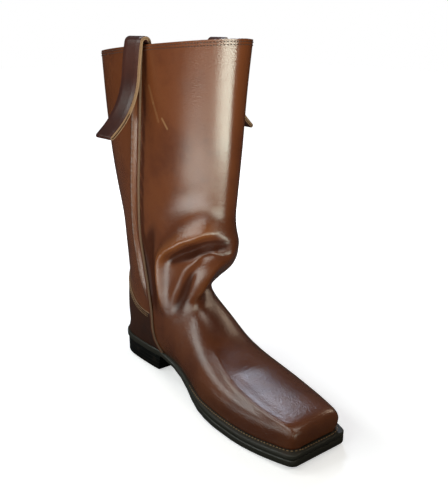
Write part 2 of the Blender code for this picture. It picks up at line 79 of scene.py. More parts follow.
def copy_of(node, name):
    """A copy of a solid as one merged mesh, selected alone."""
    bpy.ops.object.select_all(action="DESELECT")
    piece = bpy.data.objects.new(name, frame["nodes"][node].data.copy())
    bpy.context.scene.collection.objects.link(piece)
    bpy.context.view_layer.objects.active = piece
    piece.select_set(True)
    bpy.ops.object.mode_set(mode="EDIT")
    bpy.ops.mesh.select_mode(type="FACE")
    bpy.ops.mesh.select_all(action="SELECT")
    bpy.ops.mesh.remove_doubles(threshold=WELD)
    bpy.ops.mesh.tris_convert_to_quads(face_threshold=math.pi, shape_threshold=math.pi)
    bpy.ops.mesh.select_all(action="DESELECT")
    bpy.ops.object.mode_set(mode="OBJECT")
    piece.data.materials.clear()
    return piece


def apply_modifier(piece, kind, **values):
    """Adds a modifier, gives it its values and applies it at once."""
    bpy.context.view_layer.objects.active = piece
    modifier = piece.modifiers.new(kind.lower(), kind)
    for name, value in values.items():
        setattr(modifier, name, value)
    bpy.ops.object.modifier_apply(modifier=modifier.name)


def face_places(mesh):
    """The middles of a mesh's faces, and which way they look."""
    centres = np.zeros(len(mesh.polygons) * 3)
    normals = np.zeros(len(mesh.polygons) * 3)
    mesh.polygons.foreach_get("center", centres)
    mesh.polygons.foreach_get("normal", normals)
    return centres.reshape(-1, 3), normals.reshape(-1, 3)


def put(tree, kind, inputs=None, **settings):
    """Adds a shader node with its settings, and links or sets its inputs by name or number."""
    made = tree.nodes.new("ShaderNode" + kind)
    for name, value in settings.items():
        setattr(made, name, value)
    for name, value in (inputs or {}).items():
        if isinstance(value, bpy.types.NodeSocket):
            tree.links.new(value, made.inputs[name])
        else:
            made.inputs[name].default_value = value
    return made


def new_material(name, **values):
    """A Principled material; the values go on the shader's own sockets."""
    material = bpy.data.materials.new(name)
    material.use_nodes = True
    shader = material.node_tree.nodes["Principled BSDF"]
    for label, value in values.items():
        shader.inputs[label.replace("_", " ")].default_value = value
    return material, material.node_tree, shader


def new_group(name, inputs, outputs):
    """A node group with its named sockets; a colour's first value has four parts."""
    group = bpy.data.node_groups.new(name, "ShaderNodeTree")
    for label, kind, value in inputs:
        socket = group.interface.new_socket(label, in_out="INPUT", socket_type="NodeSocket" + kind)
        if value is not None:
            socket.default_value = value
    for label, kind in outputs:
        group.interface.new_socket(label, in_out="OUTPUT", socket_type="NodeSocket" + kind)
    return group, group.nodes.new("NodeGroupInput").outputs, group.nodes.new("NodeGroupOutput").inputs


def blend_colours(tree, share, first, second):
    return put(tree, "Mix", {0: share, 6: first, 7: second}, data_type="RGBA").outputs[2]


def between(tree, value, low, high, first=0.0, second=1.0):
    """A value's smooth step from first to second as it goes from low to high."""
    ranged = put(tree, "MapRange", {"Value": value, "From Min": low, "From Max": high, "To Min": first,
                                    "To Max": second}, interpolation_type="SMOOTHSTEP")
    return ranged.outputs["Result"]


def maths(tree, how, first, second=0.0):
    return put(tree, "Math", {0: first, 1: second}, operation=how).outputs[0]


# edge dressing: a black coat that thins to brown where it is rubbed, over fibres that lie along the edge
dressing, taken, given = new_group(
    "edge_dressing",
    (("Vector", "Vector", None), ("Black", "Color", DRESSING_BLACK), ("Rubbed", "Color", DRESSING_RUBBED),
     ("Wear", "Float", 0.35)),
    (("Color", "Color"), ("Roughness", "Float"), ("Height", "Float")))
laid = put(dressing, "Mapping", {"Vector": taken["Vector"], "Scale": (90.0, 90.0, 900.0)})
fibres = put(dressing, "TexNoise", {"Vector": laid.outputs[0], "Scale": 1.0, "Detail": 3.0})
patches = put(dressing, "TexNoise", {"Vector": taken["Vector"], "Scale": 85.0, "Detail": 4.0,
                                     "Roughness": 0.7})
rubbed = maths(dressing, "MULTIPLY", between(dressing, patches.outputs["Fac"], 0.5, 0.72), taken["Wear"])
dressing.links.new(blend_colours(dressing, rubbed, taken["Black"], taken["Rubbed"]), given["Color"])
dressing.links.new(between(dressing, patches.outputs["Fac"], 0.3, 0.7, 0.34, 0.6), given["Roughness"])
dressing.links.new(fibres.outputs["Fac"], given["Height"])


def edge_black(name, wear):
    """Black dressed leather edge, rubbed brown by its wear."""
    material, tree, shader = new_material(name, Specular_IOR_Level=0.42)
    where = put(tree, "TexCoord").outputs["Object"]
    coat = put(tree, "Group", node_tree=dressing)
    tree.links.new(where, coat.inputs["Vector"])
    coat.inputs["Wear"].default_value = wear
    bump = put(tree, "Bump", {"Height": coat.outputs["Height"], "Distance": EDGE_FIBRE, "Strength": 0.6})
    tree.links.new(coat.outputs["Color"], shader.inputs["Base Color"])
    tree.links.new(coat.outputs["Roughness"], shader.inputs["Roughness"])
    tree.links.new(bump.outputs[0], shader.inputs["Normal"])
    return material


def walked_leather(name):
    """Sole leather seen from below: tan, darkened and scratched where it meets the ground."""
    material, tree, shader = new_material(name, Specular_IOR_Level=0.3)
    where = put(tree, "TexCoord").outputs["Object"]
    stains = put(tree, "TexNoise", {"Vector": where, "Scale": 38.0, "Detail": 6.0, "Roughness": 0.65})
    pulled = put(tree, "Mapping", {"Vector": where, "Scale": (700.0, 60.0, 700.0),
                                   "Rotation": (0, 0, 0.25)})
    scratches = put(tree, "TexNoise", {"Vector": pulled.outputs[0], "Scale": 1.0, "Detail": 2.0})
    tan = blend_colours(tree, between(tree, stains.outputs["Fac"], 0.35, 0.68), WALKED_TAN, WALKED_STAIN)
    scored = between(tree, scratches.outputs["Fac"], 0.6, 0.72, 0.0, 0.5)
    tree.links.new(blend_colours(tree, scored, tan, WALKED_SCORE), shader.inputs["Base Color"])
    tree.links.new(between(tree, stains.outputs["Fac"], 0.3, 0.7, 0.5, 0.78), shader.inputs["Roughness"])
    bump = put(tree, "Bump", {"Height": scratches.outputs["Fac"], "Distance": 0.15 * MM,
                              "Strength": 0.5})
    tree.links.new(bump.outputs[0], shader.inputs["Normal"])
    return material


def round_edges(piece, width, segments=3):
    apply_modifier(piece, "BEVEL", width=width, segments=segments, limit_method="ANGLE",
                   angle_limit=math.radians(ROUNDED_BEND), use_clamp_overlap=True)
    bpy.ops.object.shade_smooth_by_angle(angle=math.radians(SHARP_BEND))


sole_black = edge_black("sole_edge_black", wear=0.35)
sole_face = walked_leather("sole_leather_face")
outsole = copy_of("outsole", "boot_outsole")
round_edges(outsole, PLATE_EDGE_ROUND)
outsole.data.materials.append(sole_black)
outsole.data.materials.append(sole_face)
_, normals = face_places(outsole.data)
outsole.data.polygons.foreach_set("material_index", (normals[:, 2] < LOOKS_DOWN).astype(np.int32))
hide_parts("outsole")
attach(outsole, "root")

# Heel
# A low block of leather lifts, pasted and pegged under the seat, rasped to one shape and blacked. The
# joints between the lifts still show as faint lines round it.
LIFT_THICKNESS = 4.6 * MM
LIFT_JOINT = 0.35 * MM
HEEL_EDGE_ROUND = 0.6 * MM
HEEL_BLACK = (0.004, 0.0045, 0.004, 1)
JOINT_BROWN = (0.03, 0.022, 0.016, 1)
heel = copy_of("heel", "boot_heel")
round_edges(heel, HEEL_EDGE_ROUND)
heel_black, tree, shader = new_material("heel_lift_black", Specular_IOR_Level=0.22)
where = put(tree, "TexCoord").outputs["Object"]
coat = put(tree, "Group", node_tree=dressing)
tree.links.new(where, coat.inputs["Vector"])
coat.inputs["Wear"].default_value = 0.45
coat.inputs["Black"].default_value = HEEL_BLACK
height_up = put(tree, "SeparateXYZ", {"Vector": where}).outputs["Z"]
lift = maths(tree, "PINGPONG", height_up, LIFT_THICKNESS / 2)
joint = between(tree, lift, 0.0, LIFT_JOINT, 1.0, 0.0)
relief = maths(tree, "SUBTRACT", maths(tree, "MULTIPLY", coat.outputs["Height"], 0.4), joint)
bump = put(tree, "Bump", {"Height": relief, "Distance": 0.25 * MM, "Strength": 0.7})
tree.links.new(blend_colours(tree, maths(tree, "MULTIPLY", joint, 0.5), coat.outputs["Color"], JOINT_BROWN),
               shader.inputs["Base Color"])
tree.links.new(coat.outputs["Roughness"], shader.inputs["Roughness"])
tree.links.new(bump.outputs[0], shader.inputs["Normal"])
heel.data.materials.append(heel_black)
heel.data.materials.append(sole_face)
_, normals = face_places(heel.data)
heel.data.polygons.foreach_set("material_index", (normals[:, 2] < LOOKS_DOWN).astype(np.int32))
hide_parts("heel")
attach(heel, "root")

# Insole
# The leather bottom that the foot stands on, lasted inside the upper. It is bare tan leather, stained
# dark in patches by wear.
INSOLE_EDGE_ROUND = 0.4 * MM
INSOLE_TAN = (0.26, 0.15, 0.08, 1)
INSOLE_STAIN = (0.1, 0.055, 0.03, 1)
worn_inside, tree, shader = new_material("insole_leather", Specular_IOR_Level=0.3)
where = put(tree, "TexCoord").outputs["Object"]
stains = put(tree, "TexNoise", {"Vector": where, "Scale": 26.0, "Detail": 5.0})
stained = between(tree, stains.outputs["Fac"], 0.35, 0.7)
tree.links.new(blend_colours(tree, stained, INSOLE_TAN, INSOLE_STAIN), shader.inputs["Base Color"])
tree.links.new(between(tree, stains.outputs["Fac"], 0.3, 0.7, 0.62, 0.8), shader.inputs["Roughness"])
insole = copy_of("insole", "boot_insole")
round_edges(insole, INSOLE_EDGE_ROUND, segments=2)
insole.data.materials.append(worn_inside)
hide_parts("insole")
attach(insole, "root")

# Upper
# Vamp and leg are smooth brown cowhide, lasted over a square toe and sewn up at both sides. The leg
# stands empty and sags over the instep, where the leather lies in a roll with a lip and creases below.
WALL = 2.2 * MM
SKIN_BEND = 62.0  # degrees: the outer skin ends where it bends more than this
LEG_HEIGHTS = (0.24, 0.3)  # between them, the foremost face is on the outer skin
FOLDS = {
    # name: how far it sags, how much painted shade darkens it, as if it were so much deeper, and rows
    # of across, along, up, rise, and half breadth to the right and the left of the way that the line
    # runs, seen from outside
    "roll": (3.0, 0.0, (
        (34, 14, 160, 0.0, 9, 6), (24, -18, 165, 0.5, 9, 6), (9, -37, 167, 0.5, 9, 7),
        (0, -38, 173, 1.0, 10, 8), (-9, -33, 178, 2.5, 11, 8), (-15, -28, 180, 6.0, 12, 7.5),
        (-21, -21, 179, 9.0, 12, 7), (-27, -12, 174, 10.0, 11, 7), (-31, -2, 169, 9.5, 9, 7),
        (-34, 8, 162, 9.0, 7.5, 7), (-37, 18, 155, 8.5, 6.5, 7), (-38, 26, 146, 8.0, 7, 7),
        (-38, 30, 138, 7.5, 6, 7), (-37, 32, 128, 7.0, 6, 7), (-36, 33, 116, 6.5, 6, 7),
        (-35, 33, 101, 5.0, 6, 7), (-35, 32, 87, 3.0, 6, 8), (-35, 29, 73, 0.0, 6, 8))),
    "under_roll": (0.0, 6.0, (
        (5, -38, 168, 0.0, 5, 5), (-7, -38, 167, -2.0, 6, 6), (-18, -30, 165, -4.5, 5.5, 5.5),
        (-26, -18, 160, -6.0, 5.5, 5), (-30, -8, 155, -5.5, 6, 5.5), (-34, 4, 150, -4.0, 6, 6),
        (-36, 15, 144, -2.5, 6, 6), (-37, 23, 137, 0.0, 6, 6))),
    "lip": (1.5, 0.0, (
        (5, -34, 150, 0.0, 5, 4), (-7, -37, 155, 1.2, 6, 5), (-12, -35, 159, 3.0, 6, 4.5),
        (-17, -31, 162, 4.5, 5.5, 4), (-21, -27, 161, 5.0, 5, 4), (-24, -21, 158, 5.0, 5.5, 4),
        (-26, -17, 152, 4.5, 6, 4), (-28, -12, 145, 4.0, 7, 4.5), (-30, -6, 136, 3.5, 8, 5),
        (-31, 2, 120, 3.0, 8, 5), (-32, 13, 101, 2.0, 8, 6), (-34, 23, 82, 0.0, 8, 6))),
    "valley": (0.0, 2.0, (
        (-26, -16, 145, 0.0, 4, 5), (-28, -9, 134, -2.5, 5, 6), (-29, -3, 123, -3.5, 5, 7),
        (-30, 3, 109, -3.5, 6, 8), (-31, 10, 93, -2.5, 6, 8), (-33, 13, 78, 0.0, 7, 8))),
    "column": (0.0, 0.0, (
        (-26, -16, 143, 0.0, 6, 9), (-23, -16, 132, 1.5, 8, 13), (-21, -15, 118, 2.5, 9, 15),
        (-18, -12, 107, 2.0, 10, 16), (-16, -10, 98, 0.0, 11, 16))),
    "bulge": (0.0, 0.0, (
        (8, -30, 143, 0.0, 6, 6), (0, -38, 154, 1.5, 6, 6), (0, -39, 161, 2.0, 6, 6),
        (1, -39, 169, 0.0, 6, 6))),
    "shoulder": (0.0, 0.0, (
        (-21, -39, 61, 0.0, 4, 5), (-29, -63, 51, 1.2, 3.2, 4), (-35, -91, 44, 1.5, 3.2, 4),
        (-37, -119, 40, 1.5, 3.2, 4), (-37, -141, 38, 1.5, 3.2, 4), (-35, -161, 36, 1.3, 3.5, 4),
        (-32, -170, 35, 0.0, 4, 4))),
    "flex": (0.0, 0.0, (
        (-30, -76, 49, 0.0, 11, 11), (-15, -80, 53, -1.0, 11, 11), (2, -84, 53, -1.2, 11, 11),
        (26, -92, 44, 0.0, 11, 11))),
    "seam_hollow": (0.0, 4.0, (
        (-43, 34, 190, 0.0, 7, 7), (-41, 42, 172, -0.8, 7, 7), (-40, 48, 156, -2.0, 7, 7),
        (-39, 51, 139, -3.0, 7, 7), (-38, 51, 122, -3.0, 7, 7), (-37, 49, 105, -2.5, 6, 6),
        (-36, 47, 82, -1.5, 6, 6), (-36, 42, 67, 0.0, 6, 6))),
    "above_roll": (0.0, 0.0, (
        (-40, 32, 178, 0.0, 8, 8), (-36, 8, 192, -1.0, 9, 9), (-29, -10, 199, -0.8, 9, 9),
        (-10, -32, 206, 0.0, 8, 8))),
    "ripple": (0.0, 0.0, (
        (-40, 28, 212, 0.0, 8, 9), (-38, 16, 211, 0.8, 8, 9), (-33, 1, 211, 0.8, 8, 9),
        (-26, -15, 216, 0.7, 8, 9), (-12, -32, 222, 0.0, 8, 9))),
}
THROATS = (  # the hollow of the instep at the inner and the outer side, which the leather bridges
    ((-10, -9, 98), (-16, -10, 92), (-24, -4, 86), (-31, 8, 82), (-35, 22, 80)),
    ((28, 12, 107), (34, 28, 96), (38, 46, 85)))
THROAT_REACH = 20.0 * MM
THROAT_LEAST = 0.05  # share of the smoothing below which a corner is left alone
THROAT_ROUNDS = 120
PAINTED_SHADE_SPREAD = 0.5  # the painted shade lies wider than the fold
BROAD_FOLDS = ("ripple", "above_roll", "column")  # these need no finer mesh
LINE_STEP = 2.5 * MM
FINE_ROUND_FOLDS = 12.0 * MM
SEAM_FINE = (7.0 * MM, 9.0 * MM)  # middle behind the inner seam, and half breadth, of the finer mesh there
SEAM_FINE_ABOVE = 0.07
INNER_SIDE = -0.02  # faces farther across than this are on the inner side
SEAM_AVERAGE = 9 * MM
LAP_RISE = 1.9  # in millimetres, as all sizes of the lap, the bulge and the groove
LAP_EDGE = -2.5  # the back panel's cut edge lies this far before the seam's middle line
LAP_SLOPE = 3.0
LAP_FLAT = 4.0  # it lies level up to here behind the seam, and then fades
LAP_FADE = 7.0
BULGE_RISE = 3.6
BULGE_BREADTH = 4.6
BULGE_BEHIND = (  # height, and how far behind the seam
    (80, 3.0), (95, 4.5), (113, 6.5), (150, 8.5), (190, 9.0), (290, 7.5))
PAINTED_SHEEN_BREADTH = 2.1  # of the pale line of painted sheen on its crest
GROOVE_BEHIND = -5.0
GROOVE_DEPTH = 0.6
GROOVE_BREADTH = 3.2
GROOVE_PAINTED_SHADE = 4.0  # painted shade in the groove, as if it were this much deeper
LAP_HEIGHTS = (78.0, 112.0, 300.0, 338.0)  # it rises, stands, and goes flat again at the collar
SIDE_FACING = (0.4, 0.8)  # sideways part of the normal, from which the lap begins and is whole
COLLAR_ABOVE, FEATHER_BELOW = 0.3, 0.1  # heights that tell the skin's upper open edge from its lower one
UPPER_SHARP = 50.0  # degrees


def nearest_on_line(places, line):
    """For each place, the way to it from the nearest point of a line, the line's share before that
    point, and which way the line runs there."""
    lengths = np.linalg.norm(np.diff(line, axis=0), axis=1)
    before = np.concatenate([[0.0], np.cumsum(lengths)])
    best = np.full(len(places), np.inf)
    share = np.zeros(len(places))
    way = np.zeros((len(places), 3))
    along = np.zeros((len(places), 3))
    for start, end, length, run in zip(line[:-1], line[1:], lengths, before):
        t = np.clip((places - start) @ (end - start) / length**2, 0.0, 1.0)
        offset = places - (start + t[:, None] * (end - start))
        distance = np.linalg.norm(offset, axis=1)
        closer = distance < best
        best[closer] = distance[closer]
        share[closer] = (run + t[closer] * length) / before[-1]
        way[closer] = offset[closer]
        along[closer] = (end - start) / length
    return way, share, along


def soft_line(points):
    """A smooth line through a few points, as points about LINE_STEP apart."""
    points = np.array(points, float)
    padded = np.vstack([2 * points[0] - points[1], points, 2 * points[-1] - points[-2]])
    line = []
    for a, b, c, d in zip(padded[:-3], padded[1:-2], padded[2:-1], padded[3:]):
        count = max(1, int(np.linalg.norm((c - b)[:3]) / LINE_STEP))
        for t in np.arange(count) / count:
            bend = 2 * a - 5 * b + 4 * c - d + t * (3 * (b - c) + d - a)
            line.append(b + 0.5 * t * (c - a + t * bend))
    return np.array(line + [points[-1]])


def point_places(mesh):
    """The corners of a mesh, and which way it looks there."""
    places = np.zeros(len(mesh.vertices) * 3)
    normals = np.zeros(len(mesh.vertices) * 3)
    mesh.vertices.foreach_get("co", places)
    mesh.vertices.foreach_get("normal", normals)
    return places.reshape(-1, 3), normals.reshape(-1, 3)


def skin_of(piece):
    """The piece's surface as it is now, for finding the nearest place on it."""
    return BVHTree.FromPolygons([v.co[:] for v in piece.data.vertices],
                                [p.vertices[:] for p in piece.data.polygons])


def pressed_on(skin, points):
    """The nearest places on a skin, and which way it faces there."""
    found = [skin.find_nearest(point) for point in points]
    return np.array([hit[0][:] for hit in found]), np.array([hit[1][:] for hit in found])


def soft_step(value, low, high):
    """Goes smoothly from 0 to 1 as a value goes from low to high."""
    share = np.clip((value - low) / (high - low), 0.0, 1.0)
    return share * share * (3 - 2 * share)


def seam_along(node, heights):
    """How far along the boot a side seam's middle lies at each height, from its solid's corners."""
    corners = np.array([corner.co[:] for corner in frame["nodes"][node].data.vertices])
    heights = np.clip(heights, corners[:, 2].min(), corners[:, 2].max())
    weight = np.exp(-(((heights[:, None] - corners[None, :, 2]) / SEAM_AVERAGE) ** 2))
    return weight @ corners[:, 1] / weight.sum(axis=1)


def open_rim(piece):
    """The corners on the open edges of a skin."""
    shape = bmesh.new()
    shape.from_mesh(piece.data)
    points = np.array([corner.co[:] for corner in shape.verts if corner.is_boundary])
    shape.free()
    return points


def round_order(points):
    """Points of a closed line, in their order round its middle."""
    middle = points.mean(axis=0)
    return points[np.argsort(np.arctan2(points[:, 1] - middle[1], points[:, 0] - middle[0]))]


def set_value(piece, name, values):
    """Gives each corner of a piece a value that its material can read."""
    attribute = piece.data.attributes.new(name, "FLOAT", "POINT")
    attribute.data.foreach_set("value", values)


upper = copy_of("upper", "boot_upper")
centres, normals = face_places(upper.data)
on_leg = (centres[:, 2] > LEG_HEIGHTS[0]) & (centres[:, 2] < LEG_HEIGHTS[1])
front_face = int(np.argmin(np.where(on_leg, centres[:, 1], np.inf)))
upper.data.polygons[front_face].select = True
bpy.ops.object.mode_set(mode="EDIT")
bpy.ops.mesh.faces_select_linked_flat(sharpness=math.radians(SKIN_BEND))
bpy.ops.mesh.select_all(action="INVERT")
bpy.ops.mesh.delete(type="FACE")
bpy.ops.object.mode_set(mode="OBJECT")
apply_modifier(upper, "SUBSURF", levels=2, render_levels=2)

places, _ = point_places(upper.data)
throat = upper.vertex_groups.new(name="throat")
ways = [nearest_on_line(places, np.array(line) * MM)[0] for line in THROATS]
from_throat = np.min([np.linalg.norm(way, axis=1) for way in ways], axis=0)
for corner, near in enumerate(np.exp(-((from_throat / THROAT_REACH) ** 2))):
    if near > THROAT_LEAST:
        throat.add([corner], float(near), "REPLACE")
apply_modifier(upper, "SMOOTH", vertex_group="throat", factor=0.5, iterations=THROAT_ROUNDS)
upper.vertex_groups.clear()

skin = skin_of(upper)
fold_lines = {}
for name, (_, _, rows) in FOLDS.items():
    rows = soft_line(np.array(rows) * MM)
    rows[:, :3], _ = pressed_on(skin, rows[:, :3])
    fold_lines[name] = rows
centres, _ = face_places(upper.data)
near_fold = np.zeros(len(centres), bool)
for name, rows in fold_lines.items():
    if name not in BROAD_FOLDS:
        near_fold |= np.linalg.norm(nearest_on_line(centres, rows[:, :3])[0], axis=1) < FINE_ROUND_FOLDS
behind = centres[:, 1] - seam_along("side_seam_medial", centres[:, 2])
at_seam = (centres[:, 0] < INNER_SIDE) & (centres[:, 2] > SEAM_FINE_ABOVE)
near_fold |= at_seam & (abs(behind - SEAM_FINE[0]) < SEAM_FINE[1])
upper.data.polygons.foreach_set("select", near_fold)
bpy.ops.object.mode_set(mode="EDIT")
bpy.ops.mesh.subdivide(number_cuts=1)
bpy.ops.object.mode_set(mode="OBJECT")

places, normals = point_places(upper.data)
rise = np.zeros(len(places))
sag = np.zeros(len(places))
painted_shade = np.zeros(len(places))
rubbed = np.zeros(len(places))
# each fold moves the skin, and adds painted shade along its trough by the amount in its second column
for name, (fall, dark, _) in FOLDS.items():
    rows = fold_lines[name]
    way, share, along = nearest_on_line(places, rows[:, :3])
    height, right, left = (np.interp(share, np.linspace(0, 1, len(rows)), rows[:, k]) for k in (3, 4, 5))
    side = (np.cross(along, normals) * way).sum(axis=1)
    weight = np.exp(-((np.linalg.norm(way, axis=1) / np.where(side > 0, right, left)) ** 2))
    rise += height * weight
    strength = abs(height) / abs(rows[:, 3]).max()
    sag += fall * MM * strength * weight
    painted_shade += dark * strength * weight ** PAINTED_SHADE_SPREAD
for seam, side in (("side_seam_medial", -1), ("side_seam_lateral", 1)):
    behind = (places[:, 1] - seam_along(seam, places[:, 2])) / MM
    up = places[:, 2] / MM
    faded = np.exp(-((np.maximum(behind - LAP_FLAT, 0) / LAP_FADE) ** 2))
    lapped = soft_step(behind, LAP_EDGE, LAP_EDGE + LAP_SLOPE) * faded
    centre = np.interp(up, *zip(*BULGE_BEHIND))
    bulge = np.exp(-(((behind - centre) / BULGE_BREADTH) ** 2))
    groove = np.exp(-(((behind - GROOVE_BEHIND) / GROOVE_BREADTH) ** 2))
    stands = soft_step(up, *LAP_HEIGHTS[:2]) * (1 - soft_step(up, *LAP_HEIGHTS[2:]))
    faces_side = soft_step(side * normals[:, 0], *SIDE_FACING)
    rise += (LAP_RISE * lapped + BULGE_RISE * bulge - GROOVE_DEPTH * groove) * stands * faces_side * MM
    # painted sheen along the crest of the bulge behind the inner seam, kept in the rubbed value
    rubbed += (side < 0) * np.exp(-(((behind - centre) / PAINTED_SHEEN_BREADTH) ** 2)) * stands * faces_side
    # painted shade in the groove before the seam
    painted_shade += GROOVE_PAINTED_SHADE * groove * soft_step(up, *LAP_HEIGHTS[:2]) * faces_side
moved = places + normals * rise[:, None]
moved[:, 2] -= sag
upper.data.vertices.foreach_set("co", moved.ravel())
# the fold value is the rise less the painted shade: the material paints shade where it is low and light
# where it is high
set_value(upper, "fold", rise / MM - painted_shade)
# the rubbed value marks where the material paints the sheen
set_value(upper, "rubbed", rubbed)
upper.data.update()
outer_skin = skin_of(upper)
rim = open_rim(upper)
collar_rim = round_order(rim[rim[:, 2] > COLLAR_ABOVE])
feather = round_order(rim[rim[:, 2] < FEATHER_BELOW])
apply_modifier(upper, "SOLIDIFY", thickness=WALL, offset=-1.0, use_even_offset=False, use_rim=True,
               material_offset=1, material_offset_rim=2)
bpy.ops.object.shade_smooth_by_angle(angle=math.radians(UPPER_SHARP))

# leather grain: rounded pebbles between fine lines, with pores and a slow unevenness below them
grain, taken, given = new_group(
    "leather_grain",
    (("Vector", "Vector", None), ("Pebbles", "Float", 850.0), ("Unevenness", "Float", 60.0)),
    (("Height", "Float"), ("Pores", "Float"), ("Mottle", "Float")))
bend = put(grain, "TexNoise", {"Vector": taken["Vector"], "Scale": taken["Unevenness"], "Detail": 3.0})
turned = put(grain, "VectorMath", {0: taken["Vector"]}, operation="ADD")
small = put(grain, "VectorMath", {0: bend.outputs["Color"], "Scale": 2.0 * MM}, operation="SCALE")
grain.links.new(small.outputs[0], turned.inputs[1])
cells = put(grain, "TexVoronoi", {"Vector": turned.outputs[0], "Scale": taken["Pebbles"]}, feature="F1")
dome = maths(grain, "SUBTRACT", 1.0, cells.outputs["Distance"])
flat = put(grain, "Mapping", {"Vector": turned.outputs[0], "Scale": (1.0, 1.0, 2.2)})
wrinkles = put(grain, "TexNoise", {"Vector": flat.outputs[0], "Scale": 420.0, "Detail": 3.0,
                                   "Roughness": 0.6})
pebbled = maths(grain, "MULTIPLY", dome, 0.45)
wrinkled = maths(grain, "MULTIPLY", wrinkles.outputs["Fac"], 1.3)
grain.links.new(maths(grain, "ADD", pebbled, wrinkled), given["Height"])
grain.links.new(between(grain, cells.outputs["Distance"], 0.5, 0.9), given["Pores"])
grain.links.new(bend.outputs["Fac"], given["Mottle"])

# a mask round a straight line: one at the line, and none a breadth away from it
line_mask, taken, given = new_group(
    "line_mask", (("Vector", "Vector", None), ("Start", "Vector", None), ("End", "Vector", None),
                  ("Breadth", "Float", MM)), (("Mask", "Float"),))
line = put(line_mask, "VectorMath", {0: taken["End"], 1: taken["Start"]}, operation="SUBTRACT").outputs[0]
from_start = put(line_mask, "VectorMath", {0: taken["Vector"], 1: taken["Start"]}, operation="SUBTRACT")
from_start = from_start.outputs[0]
reach = put(line_mask, "VectorMath", {0: from_start, 1: line}, operation="DOT_PRODUCT").outputs["Value"]
whole = put(line_mask, "VectorMath", {0: line, 1: line}, operation="DOT_PRODUCT").outputs["Value"]
part = put(line_mask, "Math", {0: reach, 1: whole}, operation="DIVIDE", use_clamp=True).outputs[0]
foot = put(line_mask, "VectorMath", {0: line, "Scale": part}, operation="SCALE").outputs[0]
gap = put(line_mask, "VectorMath", {0: from_start, 1: foot}, operation="DISTANCE").outputs["Value"]
line_mask.links.new(between(line_mask, gap, 0.0, taken["Breadth"], 1.0, 0.0), given["Mask"])

# the finish: colours are in the order crease, dark, brown and light, where crease is painted shade for the
# troughs and light is painted light for the ridges
UPPER_COLOURS = ((0.03, 0.008, 0.005, 1), (0.09, 0.022, 0.0074, 1), (0.135, 0.037, 0.0114, 1),
                 (0.24, 0.075, 0.019, 1))
SCRATCHES = (  # start and end on the leg, breadth, and how pale
    ((-0.042, 0.019, 0.286), (-0.040, 0.013, 0.277), 1.8 * MM, 0.45),
    ((-0.046, 0.035, 0.316), (-0.045, 0.030, 0.300), 2.4 * MM, 0.16),
    ((-0.045, 0.030, 0.300), (-0.043, 0.024, 0.283), 2.4 * MM, 0.16))
SCRATCHED = (0.4, 0.22, 0.1, 1)
PAINTED_SHEEN = (0.34, 0.3, 0.28, 1)  # pale painted sheen on the crest of the ridge behind the inner seam
PAINTED_SHEEN_STREAKS = (120.0, 120.0, 300.0)
GRAIN_DEPTH = 0.24 * MM
FLEX_MIDDLE = (-0.004, -0.078, 0.05)  # where the vamp bends in walking, with fine lines across the foot
FLEX_SCALE = (60.0, 260.0, 260.0)
FLEX_REACH = (0.012, 0.05)  # distances where the lines begin to fade, and are gone
FLEX_DEPTH = 0.25
SMOOTH_LEG = (0.16, 0.28)  # between these heights the foot's grain goes over into the smoother leg's
GRAIN_STRENGTH = (0.8, 0.42)
LINING_TAN = (0.33, 0.19, 0.1, 1)
LINING_STAIN = (0.16, 0.085, 0.045, 1)
CUT_DARK = (0.16, 0.085, 0.045, 1)
CUT_PALE = (0.36, 0.225, 0.13, 1)


